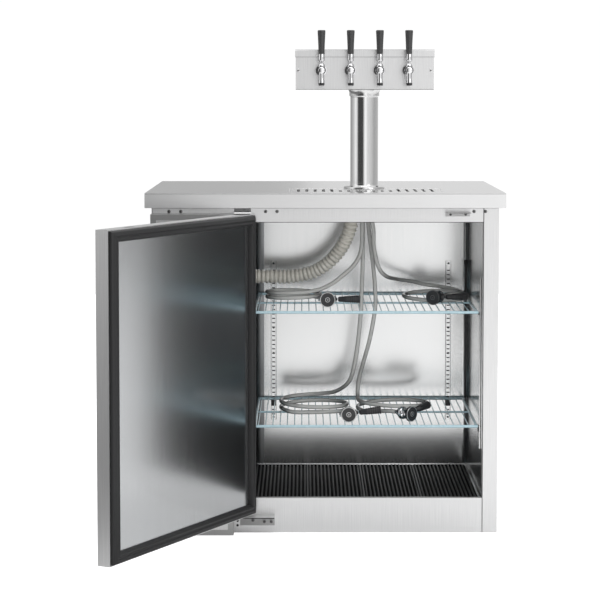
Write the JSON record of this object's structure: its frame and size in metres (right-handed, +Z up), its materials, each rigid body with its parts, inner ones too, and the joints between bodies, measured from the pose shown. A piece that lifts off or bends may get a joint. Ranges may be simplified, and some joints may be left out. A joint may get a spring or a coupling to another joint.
{
  "type": "kegerator",
  "caption": "Stainless direct-draw beer dispenser: cold cabinet with hinged door, wire shelves, T-shaped tap tower, drip tray, beer hoses and keg couplers.",
  "frame": {"origin": "centre of the cabinet's base, on the floor", "axes": "+Z up, -Y out of the cabinet's front (the door side), +X to the right of someone facing the front"},
  "size_m": [1.0192, 1.3176, 1.337],
  "materials": {
    "stainless": "vertical and horizontal brushed grain, satin",
    "galvanised": "dull galvanised sheet",
    "chrome": "polished",
    "foam": "rigid insulating foam, matte",
    "black_plastic": "moulded, semi-gloss",
    "black_rubber": "matte",
    "shelf_coating": "pale blue plastic-coated wire",
    "beer_hose": "flexible smooth hose, grey",
    "duct_hose": "ribbed flexible duct, beige",
    "enamel": "black gloss enamel",
    "coil_fins": "thin fins"
  },
  "bodies": {
    "root": {"worktop": "stainless", "side_panel_right": "stainless", "side_panel_left": "stainless", "rear_panel": "galvanised", "base_frame": "galvanised", "top_rail": "stainless", "bottom_rail": "stainless", "centre_stile": "stainless", "foam_insulation": "foam", "inner_liner": "stainless", "grille_panel": "stainless", "floor_rack": "black_rubber", "shelf_standard_back_left": "stainless", "shelf_standard_back_right": "stainless", "shelf_standard_front_left": "stainless", "shelf_standard_front_right": "stainless", "shelf_upper": "shelf_coating", "shelf_lower": "shelf_coating", "compressor": "enamel", "condenser_coil": "coil_fins", "condenser_shroud": "galvanised", "evaporator_housing": "foam", "evaporator_coil": "coil_fins", "evaporator_cover": "black_plastic", "tower_column": "stainless", "tower_box": "stainless", "tower_lid": "stainless", "faucet_1": "chrome", "faucet_2": "chrome", "faucet_3": "chrome", "faucet_4": "chrome", "drip_tray": "stainless", "hinge_top": "stainless", "hinge_bottom": "stainless", "lock_strike": "stainless", "air_hose": "duct_hose", "beer_line_1": "beer_hose", "beer_line_2": "beer_hose", "beer_line_3": "beer_hose", "beer_line_4": "beer_hose", "coupler_1": "chrome", "coupler_2": "chrome", "coupler_3": "chrome", "coupler_4": "chrome"},
    "door": {"door_skin": "stainless", "door_liner": "stainless", "door_gasket": "black_rubber", "door_handle": "black_plastic"},
    "door_lock": {"door_lock": "chrome"},
    "drip_grid": {"drip_grid": "stainless"},
    "tap_handle_1": {"tap_handle_1": "black_plastic"},
    "tap_handle_2": {"tap_handle_2": "black_plastic"},
    "tap_handle_3": {"tap_handle_3": "black_plastic"},
    "tap_handle_4": {"tap_handle_4": "black_plastic"},
    "coupler_handle_1": {"coupler_handle_1": "black_plastic"},
    "coupler_handle_2": {"coupler_handle_2": "black_plastic"},
    "coupler_handle_3": {"coupler_handle_3": "black_plastic"},
    "coupler_handle_4": {"coupler_handle_4": "black_plastic"},
    "condenser_fan": {"condenser_fan": "black_plastic"},
    "evaporator_fan": {"evaporator_fan": "black_plastic"}
  },
  "joints": [
    {"name": "door_swing", "type": "hinge", "parent": "root", "child": "door", "pos_m": [-0.215, -0.364, 0.45], "axis": [0, 0, 1], "range_deg": [0, 118]},
    {"name": "lock_turn", "type": "hinge", "parent": "door", "child": "door_lock", "pos_m": [-0.49303, -0.85494, 0.832], "axis": [0.8829, -0.4695, 0], "range_deg": [0, 90]},
    {"name": "drip_grid_lift", "type": "slide", "parent": "root", "child": "drip_grid", "axis": [0, 0, 1], "range_m": [0, 0.06]},
    {"name": "tap_1_pull", "type": "hinge", "parent": "root", "child": "tap_handle_1", "pos_m": [-0.0089, -0.18, 1.24], "axis": [1, 0, 0], "range_deg": [0, 40]},
    {"name": "tap_2_pull", "type": "hinge", "parent": "root", "child": "tap_handle_2", "pos_m": [0.0697, -0.18, 1.24], "axis": [1, 0, 0], "range_deg": [0, 40]},
    {"name": "tap_3_pull", "type": "hinge", "parent": "root", "child": "tap_handle_3", "pos_m": [0.1483, -0.18, 1.24], "axis": [1, 0, 0], "range_deg": [0, 40]},
    {"name": "tap_4_pull", "type": "hinge", "parent": "root", "child": "tap_handle_4", "pos_m": [0.2269, -0.18, 1.24], "axis": [1, 0, 0], "range_deg": [0, 40]},
    {"name": "condenser_fan_spin", "type": "hinge", "parent": "root", "child": "condenser_fan", "pos_m": [-0.35, -0.198, 0.18], "axis": [0, 1, 0], "continuous": true},
    {"name": "evaporator_fan_spin", "type": "hinge", "parent": "root", "child": "evaporator_fan", "pos_m": [-0.222, 0.09, 0.7], "axis": [1, 0, 0], "continuous": true},
    {"name": "coupler_1_lever", "type": "hinge", "parent": "root", "child": "coupler_handle_1", "pos_m": [0.031, -0.214, 0.613], "axis": [0, 0, 1], "range_deg": [0, 45]},
    {"name": "coupler_2_lever", "type": "hinge", "parent": "root", "child": "coupler_handle_2", "pos_m": [0.08733, -0.256, 0.31083], "axis": [-0.1203, 0, 0.9927], "range_deg": [0, 45]},
    {"name": "coupler_3_lever", "type": "hinge", "parent": "root", "child": "coupler_handle_3", "pos_m": [0.23705, -0.23375, 0.31175], "axis": [-0.1128, -0.1128, 0.9872], "range_deg": [0, 45]},
    {"name": "coupler_4_lever", "type": "hinge", "parent": "root", "child": "coupler_handle_4", "pos_m": [0.32627, -0.15352, 0.613], "axis": [0, 0, 1], "range_deg": [0, 35]}
  ]
}
